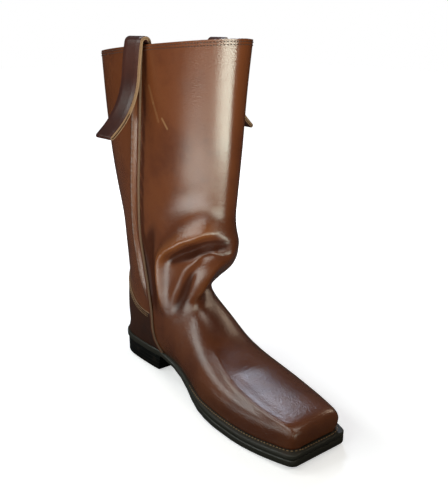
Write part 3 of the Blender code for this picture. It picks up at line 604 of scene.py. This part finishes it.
def polished_leather(name, crease, dark, brown, light, wax):
    """Waxed brown cowhide, darker in slow patches, with painted shade in the troughs, painted light on the
    ridges and a painted sheen on the seam ridge's crest.
    """
    material, tree, shader = new_material(name, Specular_IOR_Level=0.05, Coat_Roughness=0.25,
                                          Coat_IOR=1.75)
    where = put(tree, "TexCoord").outputs["Object"]
    hide = put(tree, "Group", node_tree=grain)
    tree.links.new(where, hide.inputs["Vector"])
    fold = put(tree, "Attribute", attribute_name="fold").outputs["Fac"]
    patches = put(tree, "TexNoise", {"Vector": where, "Scale": 16.0, "Detail": 4.0, "Roughness": 0.6})
    shade = blend_colours(tree, between(tree, patches.outputs["Fac"], 0.3, 0.6), dark, brown)
    # painted light on the ridges and painted shade in the troughs, read from the fold value
    shade = blend_colours(tree, between(tree, fold, 0.5, 7.0, 0.0, 0.6), shade, light)
    shade = blend_colours(tree, between(tree, fold, -0.3, -3.5, 0.0, 0.8), shade, crease)
    shade = blend_colours(tree, maths(tree, "MULTIPLY", hide.outputs["Pores"], 0.25), shade, dark)
    # painted sheen: a pale line, broken into streaks, on the seam ridge's crest
    painted_sheen_crest = put(tree, "Attribute", attribute_name="rubbed").outputs["Fac"]
    lying = put(tree, "Mapping", {"Vector": where, "Scale": PAINTED_SHEEN_STREAKS})
    streaks = put(tree, "TexNoise", {"Vector": lying.outputs[0], "Scale": 1.0, "Detail": 3.0})
    painted_sheen_mix = maths(tree, "MULTIPLY", painted_sheen_crest, between(tree, streaks.outputs["Fac"], 0.3, 0.7, 0.25, 0.75))
    shade = blend_colours(tree, painted_sheen_mix, shade, PAINTED_SHEEN)
    for start, end, breadth, pale in SCRATCHES:
        mask = put(tree, "Group", node_tree=line_mask)
        tree.links.new(where, mask.inputs["Vector"])
        for label, value in (("Start", start), ("End", end), ("Breadth", breadth)):
            mask.inputs[label].default_value = value
        seen = maths(tree, "MULTIPLY", mask.outputs["Mask"], pale)
        shade = blend_colours(tree, seen, shade, SCRATCHED)
    tree.links.new(shade, shader.inputs["Base Color"])
    matt = between(tree, fold, -0.8, -4.0, 0.0, 0.25)
    worn = between(tree, hide.outputs["Mottle"], 0.3, 0.7, 0.45, 0.55)
    tree.links.new(maths(tree, "ADD", worn, matt), shader.inputs["Roughness"])
    tree.links.new(between(tree, fold, -0.8, -4.0, wax, 0.1), shader.inputs["Coat Weight"])
    from_flex = put(tree, "VectorMath", {0: where, 1: FLEX_MIDDLE}, operation="DISTANCE")
    across = put(tree, "Mapping", {"Vector": where, "Scale": FLEX_SCALE})
    flexed = put(tree, "TexNoise", {"Vector": across.outputs[0], "Scale": 1.0, "Detail": 2.0,
                                    "Distortion": 0.6})
    lines = maths(tree, "MULTIPLY", between(tree, flexed.outputs["Fac"], 0.4, 0.62),
                  between(tree, from_flex.outputs["Value"], *FLEX_REACH, FLEX_DEPTH, 0.0))
    relief = maths(tree, "ADD", hide.outputs["Height"], lines)
    height_up = put(tree, "SeparateXYZ", {"Vector": where}).outputs["Z"]
    depth = between(tree, height_up, *SMOOTH_LEG, *GRAIN_STRENGTH)
    bump = put(tree, "Bump", {"Height": relief, "Distance": GRAIN_DEPTH, "Strength": depth})
    tree.links.new(bump.outputs[0], shader.inputs["Normal"])
    tree.links.new(bump.outputs[0], shader.inputs["Coat Normal"])
    return material


leather = polished_leather("upper_leather", *UPPER_COLOURS, wax=1.0)
lining, tree, shader = new_material("lining_leather", Specular_IOR_Level=0.3)
where = put(tree, "TexCoord").outputs["Object"]
nap = put(tree, "TexNoise", {"Vector": where, "Scale": 420.0, "Detail": 4.0})
stains = put(tree, "TexNoise", {"Vector": where, "Scale": 14.0, "Detail": 3.0})
stained = between(tree, stains.outputs["Fac"], 0.35, 0.7)
tree.links.new(blend_colours(tree, stained, LINING_TAN, LINING_STAIN), shader.inputs["Base Color"])
tree.links.new(between(tree, nap.outputs["Fac"], 0.3, 0.7, 0.7, 0.9), shader.inputs["Roughness"])
bump = put(tree, "Bump", {"Height": nap.outputs["Fac"], "Distance": 0.3 * MM, "Strength": 0.4})
tree.links.new(bump.outputs[0], shader.inputs["Normal"])
cut_edge, tree, shader = new_material("cut_edge", Specular_IOR_Level=0.3)
where = put(tree, "TexCoord").outputs["Object"]
fibre = put(tree, "TexNoise", {"Vector": where, "Scale": 900.0, "Detail": 3.0})
tree.links.new(blend_colours(tree, fibre.outputs["Fac"], CUT_DARK, CUT_PALE), shader.inputs["Base Color"])
tree.links.new(between(tree, fibre.outputs["Fac"], 0.3, 0.7, 0.6, 0.85), shader.inputs["Roughness"])
upper.data.materials.append(leather)
upper.data.materials.append(lining)
upper.data.materials.append(cut_edge)
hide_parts("upper")
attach(upper, "root")

# Collar stitching
# Two rows of dark waxed thread run round the top of the leg, close below its cut edge, and hold the
# two thicknesses of leather together there.
STITCH_SHARE = 0.72  # of the pitch that a stitch covers
STITCH_FLAT = 1.25  # breadth of a stitch, of the thread's thickness
STITCH_PROUD = 0.25  # how far a stitch's middle stands up, in thicknesses of the thread
STITCH_SINK = 1.2  # how steeply its ends go in
STITCH_AIM = 0.3  # of the pitch: how far ahead and behind the run of a row is taken
COLLAR_ROWS = (2.3 * MM, 5.0 * MM)  # depths below the cut edge
COLLAR_PITCH = 3.1 * MM
COLLAR_THREAD = 0.75 * MM
DARK_THREAD = ((0.02, 0.008, 0.006, 1), (0.06, 0.028, 0.02, 1))
bpy.ops.object.select_all(action="DESELECT")
bpy.ops.mesh.primitive_uv_sphere_add(segments=8, ring_count=5, radius=0.5, rotation=(0, math.pi / 2, 0))
bpy.ops.object.transform_apply(rotation=True)
one_stitch = bpy.context.object
stitch_points = np.array([corner.co[:] for corner in one_stitch.data.vertices])
stitch_faces = [list(face.vertices) for face in one_stitch.data.polygons]
bpy.data.objects.remove(one_stitch)


def spaced(line, pitch, closed=False):
    """Places a pitch apart along a line, and the way it runs there."""
    if closed:
        line = np.vstack([line, line[:1]])
    lengths = np.linalg.norm(np.diff(line, axis=0), axis=1)
    before = np.concatenate([[0.0], np.cumsum(lengths)])
    count = max(1, int(round(before[-1] / pitch)))
    at = (np.arange(count) + 0.5) * before[-1] / count
    places = np.column_stack([np.interp(at, before, line[:, k]) for k in range(3)])
    ahead = np.column_stack([np.interp(at + STITCH_AIM * pitch, before, line[:, k]) for k in range(3)])
    behind = np.column_stack([np.interp(at - STITCH_AIM * pitch, before, line[:, k]) for k in range(3)])
    runs = ahead - behind
    return places, runs / np.linalg.norm(runs, axis=1)[:, None]


def sew(name, rows, length, thick, skin, material):
    """Lays a stitch at every place of some rows, pressed on a skin, and joins them into one piece."""
    along, aside, up = stitch_points[:, :1], stitch_points[:, 1:2], stitch_points[:, 2:]
    lifted = up + STITCH_PROUD - STITCH_SINK * along**2
    corners = []
    faces = []
    for places, runs in rows:
        on_skin, facing = pressed_on(skin, places)
        across = np.cross(facing, runs)
        across /= np.linalg.norm(across, axis=1)[:, None]
        runs = np.cross(across, facing)
        for place, run, over, out in zip(on_skin, runs, across, facing):
            start = len(corners) * len(stitch_points)
            faces.extend([[start + k for k in face] for face in stitch_faces])
            flat = along * length * run + aside * STITCH_FLAT * thick * over
            corners.append(place + flat + lifted * thick * out)
    mesh = bpy.data.meshes.new(name)
    mesh.from_pydata(np.vstack(corners).tolist(), [], faces)
    mesh.polygons.foreach_set("use_smooth", [True] * len(mesh.polygons))
    mesh.materials.append(material)
    piece = bpy.data.objects.new(name, mesh)
    bpy.context.scene.collection.objects.link(piece)
    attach(piece, "root")


def waxed_thread(name, dark, light):
    """Twisted linen thread, pulled through wax."""
    material, tree, shader = new_material(name, Specular_IOR_Level=0.35)
    where = put(tree, "TexCoord").outputs["Object"]
    twist = put(tree, "TexNoise", {"Vector": where, "Scale": 1100.0, "Detail": 2.0})
    tree.links.new(blend_colours(tree, twist.outputs["Fac"], dark, light), shader.inputs["Base Color"])
    tree.links.new(between(tree, twist.outputs["Fac"], 0.3, 0.7, 0.45, 0.7), shader.inputs["Roughness"])
    bump = put(tree, "Bump", {"Height": twist.outputs["Fac"], "Distance": 0.1 * MM, "Strength": 0.5})
    tree.links.new(bump.outputs[0], shader.inputs["Normal"])
    return material


dark_thread = waxed_thread("collar_thread", *DARK_THREAD)
collar_rows = [spaced(collar_rim - (0, 0, depth), COLLAR_PITCH, closed=True) for depth in COLLAR_ROWS]
sew("collar_stitches", collar_rows, COLLAR_PITCH * STITCH_SHARE, COLLAR_THREAD, outer_skin, dark_thread)

# Welt
# A narrow leather strip between upper and outsole, from one end of the heel round the toe to the other.
# It is sewn to both and blacked with the sole; the thread still shows brown on its upper face.
WELT_EDGE_ROUND = 0.5 * MM
WELT_STITCH_OUT = 2.0 * MM  # from the upper's lower edge
WELT_PITCH = 3.4 * MM
WELT_THREAD = 0.85 * MM
TAN_THREAD = ((0.24, 0.14, 0.07, 1), (0.42, 0.28, 0.15, 1))
LOOKS_UP = 0.7
STITCH_DROP = 15 * MM  # height from which a stitch is let down on the welt
welt = copy_of("welt", "boot_welt")
welt_skin = skin_of(welt)
round_edges(welt, WELT_EDGE_ROUND, segments=2)
welt_face = edge_black("welt_face", wear=0.9)
welt.data.materials.append(sole_black)
welt.data.materials.append(welt_face)
_, normals = face_places(welt.data)
welt.data.polygons.foreach_set("material_index", (normals[:, 2] > LOOKS_UP).astype(np.int32))
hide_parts("welt")
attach(welt, "root")
places, runs = spaced(feather, WELT_PITCH, closed=True)
outwards = np.column_stack([runs[:, 1], -runs[:, 0], np.zeros(len(runs))])
outwards /= np.linalg.norm(outwards, axis=1)[:, None]
welt_row = []
for place, run, out in zip(places, runs, outwards):
    at = Vector(place + WELT_STITCH_OUT * out)
    hit = welt_skin.ray_cast(at + Vector((0, 0, STITCH_DROP)), Vector((0, 0, -1)))
    if hit[0] is not None and hit[1].z > LOOKS_UP:
        welt_row.append((hit[0][:], run))
places, runs = (np.array(column) for column in zip(*welt_row))
tan_thread = waxed_thread("tan_thread", *TAN_THREAD)
sew("welt_stitches", [(places, runs)], WELT_PITCH * STITCH_SHARE, WELT_THREAD, welt_skin, tan_thread)

# Counter
# A stiffened piece of the same leather over the heel, lasted under with the upper. Its curved top edge
# is cut clean, shows pale, and is held by two rows of light stitches; polish has blackened the leather.
COUNTER_PRESS = 0.85 * MM
COUNTER_LEAST_GAP = 0.1 * MM
COUNTER_ROWS = (2.2 * MM, 4.6 * MM)  # depths below the top edge
COUNTER_PITCH = 3.0 * MM
COUNTER_THREAD = 0.6 * MM
COUNTER_AXIS = 0.08  # how far along the boot the point lies that the top edge goes round
COUNTER_SECTORS = 40  # the top edge is taken as one point in each of these
COUNTER_END_SECTORS = 2  # left without stitches at each end
COUNTER_CLEAR = 5.0 * MM  # stitches are laid on from this far outside
COUNTER_COLOURS = ((0.012, 0.005, 0.004, 1), (0.028, 0.013, 0.01, 1), (0.05, 0.017, 0.009, 1),
                   (0.07, 0.024, 0.01, 1))
EDGE_CREASE = 0.9
EDGE_TURNED = 0.5  # a face of the cut edge agrees less than this with the skin's normal behind it
EDGE_LOOKS_UP = 0.4


def smooth_form(piece):
    """Subdivides a piece twice with its sharp edges kept."""
    shape = bmesh.new()
    shape.from_mesh(piece.data)
    crease = shape.edges.layers.float.new("crease_edge")
    for edge in shape.edges:
        if not edge.is_manifold or edge.calc_face_angle() > math.radians(SHARP_BEND):
            edge[crease] = EDGE_CREASE
    shape.to_mesh(piece.data)
    shape.free()
    apply_modifier(piece, "SUBSURF", levels=2, render_levels=2)
    bpy.ops.object.shade_smooth_by_angle(angle=math.radians(SHARP_BEND))


def press_down(piece, skin, depth):
    """Moves every corner of a piece towards a skin, but not through it."""
    places, _ = point_places(piece.data)
    on_skin, facing = pressed_on(skin, places)
    away = ((places - on_skin) * facing).sum(axis=1)
    drop = np.minimum(depth, np.maximum(away - COUNTER_LEAST_GAP, 0.0))
    piece.data.vertices.foreach_set("co", (places - facing * drop[:, None]).ravel())
    piece.data.update()


counter = copy_of("counter", "boot_counter")
press_down(counter, outer_skin, COUNTER_PRESS)
smooth_form(counter)
counter_leather = polished_leather("counter_leather", *COUNTER_COLOURS, wax=0.4)
counter.data.materials.append(counter_leather)
counter.data.materials.append(cut_edge)
centres, normals = face_places(counter.data)
_, facing = pressed_on(outer_skin, centres)
is_edge = ((normals * facing).sum(axis=1) < EDGE_TURNED) & (normals[:, 2] > EDGE_LOOKS_UP)
counter.data.polygons.foreach_set("material_index", is_edge.astype(np.int32))
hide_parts("counter")
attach(counter, "root")
counter_skin = skin_of(counter)
edge_points = centres[is_edge]
turn = np.arctan2(edge_points[:, 0], edge_points[:, 1] - COUNTER_AXIS)
sectors = np.linspace(turn.min(), turn.max() + 1e-6, COUNTER_SECTORS)
in_sector = np.digitize(turn, sectors)
sewn = np.unique(in_sector)[COUNTER_END_SECTORS:-COUNTER_END_SECTORS]
top_edge = soft_line([edge_points[in_sector == k].mean(axis=0) for k in sewn])
counter_rows = []
for depth in COUNTER_ROWS:
    below, facing = pressed_on(outer_skin, top_edge - (0, 0, depth))
    on_face, _ = pressed_on(counter_skin, below + facing * COUNTER_CLEAR)
    counter_rows.append(spaced(on_face, COUNTER_PITCH))
sew("counter_stitches", counter_rows, COUNTER_PITCH * STITCH_SHARE, COUNTER_THREAD, counter_skin,
    tan_thread)

# Side seams
# The back panel laps over the front one at both sides. Its edge is turned up along the seam: brown
# grain on top, and a pale cut face that looks forward.
SEAM_CUT_DARK = (0.07, 0.034, 0.02, 1)
SEAM_CUT_PALE = (0.22, 0.13, 0.08, 1)
SEAM_COLOURS = ((0.012, 0.004, 0.003, 1), (0.06, 0.017, 0.009, 1), (0.1, 0.028, 0.012, 1),
                (0.12, 0.035, 0.013, 1))
LOOKS_FORWARD = -0.35
seam_edge, tree, shader = new_material("seam_edge", Specular_IOR_Level=0.2)
where = put(tree, "TexCoord").outputs["Object"]
fibre = put(tree, "TexNoise", {"Vector": where, "Scale": 700.0, "Detail": 3.0})
tree.links.new(blend_colours(tree, fibre.outputs["Fac"], SEAM_CUT_DARK, SEAM_CUT_PALE),
               shader.inputs["Base Color"])
tree.links.new(between(tree, fibre.outputs["Fac"], 0.3, 0.7, 0.6, 0.85), shader.inputs["Roughness"])
seam_leather = polished_leather("seam_leather", *SEAM_COLOURS, wax=0.25)
for side in ("medial", "lateral"):
    node = f"side_seam_{side}"
    seam = copy_of(node, f"boot_seam_{side}")
    smooth_form(seam)
    seam.data.materials.append(seam_leather)
    seam.data.materials.append(seam_edge)
    _, normals = face_places(seam.data)
    seam.data.polygons.foreach_set("material_index", (normals[:, 1] < LOOKS_FORWARD).astype(np.int32))
    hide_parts(node)
    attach(seam, "root")

# Pull straps
# Doubled straps of the same leather, sewn inside the leg and bent out over the collar, by which the
# boot is pulled on. Their cut edges are bare and pale; the grain side is dark and shines where it bends.
LAYER_GAP = 5.0 * MM  # the solid's two layers lie nearer than this, and are pressed together
LAYERS_MEET = 0.52  # a little past half way, so that no gap shows
RAY_START = 0.05 * MM
FACES_BACK = -0.5
STRAP_SIDE = 0.7  # faces that look along the boot more than this are cut edges
STRAP_COLOURS = ((0.02, 0.007, 0.005, 1), (0.034, 0.012, 0.01, 1), (0.062, 0.02, 0.014, 1),
                 (0.09, 0.03, 0.014, 1))
strap_leather = polished_leather("strap_leather", *STRAP_COLOURS, wax=0.35)
for side in ("medial", "lateral"):
    node = f"pull_strap_{side}"
    strap = copy_of(node, f"boot_strap_{side}")
    smooth_form(strap)
    layers = skin_of(strap)
    places, normals = point_places(strap.data)
    for corner, place, out in zip(strap.data.vertices, places, normals):
        hit = layers.ray_cast(Vector(place + RAY_START * out), Vector(out), LAYER_GAP)
        if hit[0] is not None and hit[1].dot(Vector(out)) < FACES_BACK:
            corner.co = Vector(place) + LAYERS_MEET * (hit[0] - Vector(place))
    strap.data.update()
    strap.data.materials.append(strap_leather)
    strap.data.materials.append(cut_edge)
    _, normals = face_places(strap.data)
    strap.data.polygons.foreach_set("material_index", (abs(normals[:, 1]) > STRAP_SIDE).astype(np.int32))
    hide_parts(node)
    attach(strap, "root")

# Floor and light
# A plain pale floor that the camera sees white. A long window lights the inner side, smaller lamps stand
# behind, at the outer side and in front, and the leather mirrors panels of light that come up from the
# floor before it.
FLOOR_SIZE = 12.0
FLOOR_TOP = -0.5 * MM
FLOOR_SEEN = (0.9, 0.9, 0.9, 1)
FLOOR_MIRRORED = (0.05, 0.05, 0.05, 1)
FLOOR_GLOW = (0.2, 0.9, 0.5, 1.0)  # distances from the boot, and how strongly the floor shines there
SKY_MIRRORED = 0.035
bpy.ops.object.select_all(action="DESELECT")
bpy.ops.mesh.primitive_plane_add(size=FLOOR_SIZE, location=(0, 0, FLOOR_TOP))
floor = bpy.context.object
floor.name = "floor"
pale, tree, shader = new_material("floor_pale", Roughness=0.9, Specular_IOR_Level=0.1)
seen = put(tree, "LightPath").outputs["Is Camera Ray"]
tree.links.new(blend_colours(tree, seen, FLOOR_MIRRORED, FLOOR_SEEN), shader.inputs["Base Color"])
where = put(tree, "TexCoord").outputs["Object"]
away = put(tree, "VectorMath", {0: where}, operation="LENGTH").outputs["Value"]
glow = maths(tree, "MULTIPLY", between(tree, away, *FLOOR_GLOW), seen)
tree.links.new(glow, shader.inputs["Emission Strength"])
shader.inputs["Emission Color"].default_value = (1, 1, 1, 1)
floor.data.materials.append(pale)

AIM = Vector((0.008, -0.0175, 0.1535))  # the middle of the picture
SKY_BLUE = (0.75, 0.84, 1.0)
SKY_LAYERS = ((0.16, 0.65), (0.26, 1.7), (0.36, 3.3), (0.48, 4.5))  # breadth and power of each disc


def direction(azimuth, elevation):
    """Which way a place lies from the boot: azimuth 0 is in front of the toe, and grows to the left."""
    a, e = math.radians(azimuth), math.radians(elevation)
    return Vector((math.sin(a) * math.cos(e), -math.cos(a) * math.cos(e), math.sin(e)))


def softbox(name, azimuth, elevation, distance, width, height, power, colour):
    """A lamp with a soft face that looks at the boot."""
    light = bpy.data.lights.new(name, "AREA")
    light.shape = "RECTANGLE"
    light.size = width
    light.size_y = height
    light.energy = power
    light.color = colour
    lamp = bpy.data.objects.new(name, light)
    bpy.context.scene.collection.objects.link(lamp)
    lamp.location = AIM + direction(azimuth, elevation) * distance
    lamp.rotation_euler = direction(azimuth, elevation).to_track_quat("Z", "Y").to_euler()
    lamp.visible_camera = False


def glow_panel(name, middle, sides, power, colour):
    """Light that comes up from a part of the floor."""
    softbox(name, 0, 90, 0, *sides, power, colour)
    panel = bpy.data.objects[name]
    panel.location = (*middle, 1 * MM)
    panel.rotation_euler = (math.pi, 0, 0)


# lamps: azimuth, elevation, distance, width, height, power and colour
softbox("window_light", -100, 33, 1.5, 2.4, 0.45, 14, (0.94, 1.0, 0.96))
softbox("back_light", -168, 60, 1.5, 0.5, 0.35, 6.5, (0.95, 0.97, 1.0))
softbox("right_light", 88, 25, 1.5, 0.35, 0.35, 1.8, (1.0, 0.8, 0.6))
softbox("fill_light", 5, 43, 1.5, 0.7, 0.7, 4.5, (1.0, 0.92, 0.8))

# the vamp's soft sheen: discs over one another, brightest in the middle
for layer, (breadth, power) in enumerate(SKY_LAYERS):
    softbox(f"sky_light_{layer}", 139, 38, 1.8, breadth, breadth, power, SKY_BLUE)
    bpy.data.lights[f"sky_light_{layer}"].shape = "DISK"

# panels: middle on the floor, sides, power and colour
glow_panel("front_bounce", (-0.4, -1.1), (1.1, 0.8), 40, (0.94, 1.0, 0.84))
glow_panel("far_bounce", (-0.45, -1.3), (0.8, 0.6), 10, (1.0, 0.98, 0.83))
glow_panel("corner_bounce", (-0.85, -0.55), (0.5, 0.5), 2.5, (0.94, 1.0, 0.86))
glow_panel("side_bounce", (-0.85, -0.05), (0.5, 0.45), 3.8, (0.94, 1.0, 0.9))
glow_panel("near_bounce", (-0.35, -0.03), (0.3, 0.3), 1.0, (0.92, 1.0, 0.97))
glow_panel("toe_bounce", (-0.5, -0.3), (0.35, 0.3), 0.9, (0.94, 1.0, 0.9))
world = bpy.data.worlds.new("studio")
bpy.context.scene.world = world
world.use_nodes = True
tree = world.node_tree
backdrop = tree.nodes["Background"].inputs
backdrop["Color"].default_value = (1, 1, 1, 1)
seen = put(tree, "LightPath").outputs["Is Camera Ray"]
tree.links.new(between(tree, seen, 0.0, 1.0, SKY_MIRRORED, 1.0), backdrop["Strength"])
bpy.context.scene.view_settings.view_transform = "Standard"

# Camera
# It stands where the photograph was taken, in front of the toe's inner side and a little above, and
# frames the whole boot.
CAMERA_AZIMUTH, CAMERA_ELEVATION, CAMERA_DISTANCE = -39.0, 18.0, 0.686
CAMERA_ROLL = 1.0
FOCAL_PIXELS, FRAME_PIXELS = 668.0, 500.0
SENSOR = 36.0
lens = bpy.data.cameras.new("camera")
lens.sensor_width = SENSOR
lens.lens = FOCAL_PIXELS / FRAME_PIXELS * SENSOR
camera = bpy.data.objects.new("camera", lens)
bpy.context.scene.collection.objects.link(camera)
back = direction(CAMERA_AZIMUTH, CAMERA_ELEVATION)
right = Vector((0, 0, 1)).cross(back).normalized()
upwards = back.cross(right)
turn = Matrix((right, upwards, back)).transposed().to_4x4()
camera.matrix_world = Matrix.Translation(AIM + back * CAMERA_DISTANCE) @ turn @ Matrix.Rotation(
    math.radians(CAMERA_ROLL), 4, "Z")
bpy.context.scene.camera = camera
